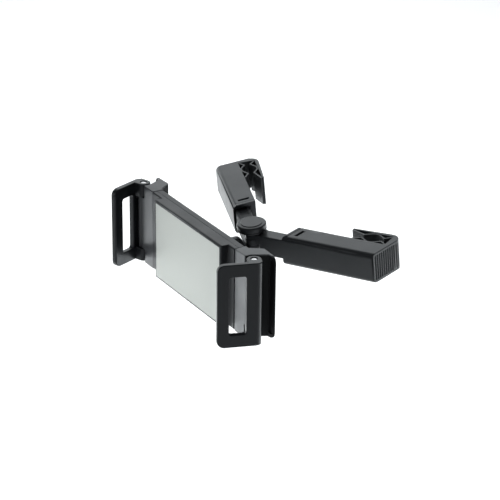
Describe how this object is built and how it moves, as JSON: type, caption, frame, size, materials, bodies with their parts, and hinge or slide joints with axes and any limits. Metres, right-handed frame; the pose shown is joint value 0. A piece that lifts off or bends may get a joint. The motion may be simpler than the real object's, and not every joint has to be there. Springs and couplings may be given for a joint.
{
  "type": "headrest tablet mount",
  "caption": "Headrest tablet mount: V of telescoping post clamps, ball joint with collar nut, and a sprung cradle with folding hooks.",
  "frame": {"origin": "centre of arm 1's post grip, at the arms' mid height", "axes": "+Z along the headrest posts, X along the cradle, -Y towards the passenger"},
  "size_m": [0.2122, 0.1604, 0.0733],
  "materials": {
    "black_plastic": "satin moulded black",
    "soft_lining": "matt soft black",
    "bearing_plastic": "natural bearing plastic",
    "black_metal": "blackened",
    "steel": "plain",
    "spring_steel": "plain",
    "silver_panel": "satin silver"
  },
  "bodies": {
    "arm_1": {"arm_1_housing": "black_plastic", "arm_1_inner_lining": "soft_lining", "arm_1_outer_lining": "soft_lining", "arm_1_stop_clip": "spring_steel"},
    "neck_1": {"neck_1": "black_plastic"},
    "hub": {"ball_stud": "black_metal", "hub_bolt": "steel", "hub_nut": "steel", "hub_washers": "steel", "hub_cap": "black_plastic"},
    "neck_2": {"neck_2": "black_plastic"},
    "arm_2": {"arm_2_housing": "black_plastic", "arm_2_inner_lining": "soft_lining", "arm_2_outer_lining": "soft_lining", "arm_2_stop_clip": "spring_steel"},
    "front_seat": {"front_ball_seat": "bearing_plastic"},
    "rear_seat": {"rear_ball_seat": "bearing_plastic"},
    "cradle": {"cradle_housing": "black_plastic", "rear_cover": "black_plastic", "cover_screws": "steel", "front_panel": "silver_panel", "jaw_springs": "spring_steel", "socket_base": "black_plastic", "left_jaw": "black_plastic", "left_hook_pin": "steel"},
    "collar": {"collar_nut": "black_plastic"},
    "sliding_jaw": {"right_jaw": "black_plastic", "right_hook_pin": "steel"},
    "left_hook": {"left_hook": "black_plastic"},
    "right_hook": {"right_hook": "black_plastic"}
  },
  "joints": [
    {"name": "arm_1_extend", "type": "slide", "parent": "arm_1", "child": "neck_1", "axis": [0.9432, -0.3322, 0], "range_m": [-0.0167, 0.0193]},
    {"name": "arm_1_fold", "type": "hinge", "parent": "neck_1", "child": "hub", "pos_m": [0.09139, -0.05148, 0], "axis": [0, 0, 1], "range_deg": [-12, 33]},
    {"name": "arm_2_fold", "type": "hinge", "parent": "hub", "child": "neck_2", "pos_m": [0.09139, -0.05148, 0], "axis": [0, 0, 1], "range_deg": [-14, 33]},
    {"name": "arm_2_extend", "type": "slide", "parent": "neck_2", "child": "arm_2", "axis": [0.8796, 0.4756, 0], "range_m": [-0.01, 0.026]},
    {"name": "cradle_pan", "type": "hinge", "parent": "hub", "child": "rear_seat", "pos_m": [0.09139, -0.07178, -0.0043], "axis": [0, 0, 1], "range_deg": [-8, 8]},
    {"name": "cradle_tilt", "type": "hinge", "parent": "rear_seat", "child": "front_seat", "pos_m": [0.09139, -0.07178, -0.0043], "axis": [1, 0, 0], "range_deg": [-6, 15]},
    {"name": "cradle_spin", "type": "hinge", "parent": "front_seat", "child": "cradle", "pos_m": [0.09139, -0.07178, -0.0043], "axis": [0, 0.9933, -0.1155], "continuous": true},
    {"name": "collar_turn", "type": "hinge", "parent": "cradle", "child": "collar", "pos_m": [0.09139, -0.07178, -0.0043], "axis": [0, 0.9933, -0.1155], "range_deg": [-270, 30]},
    {"name": "jaw_slide", "type": "slide", "parent": "cradle", "child": "sliding_jaw", "axis": [0.9999, 0.0018, 0.0153], "range_m": [0, 0.045], "stiffness_N_per_m": 150, "springref_m": -0.05},
    {"name": "left_hook_fold", "type": "hinge", "parent": "cradle", "child": "left_hook", "pos_m": [0.0019, -0.10084, -0.00231], "axis": [-0.0154, 0.1154, 0.9932], "range_deg": [-25, 67]},
    {"name": "right_hook_fold", "type": "hinge", "parent": "sliding_jaw", "child": "right_hook", "pos_m": [0.17548, -0.10053, 0.00034], "axis": [0.0154, -0.1154, -0.9932], "range_deg": [-25, 71]}
  ]
}
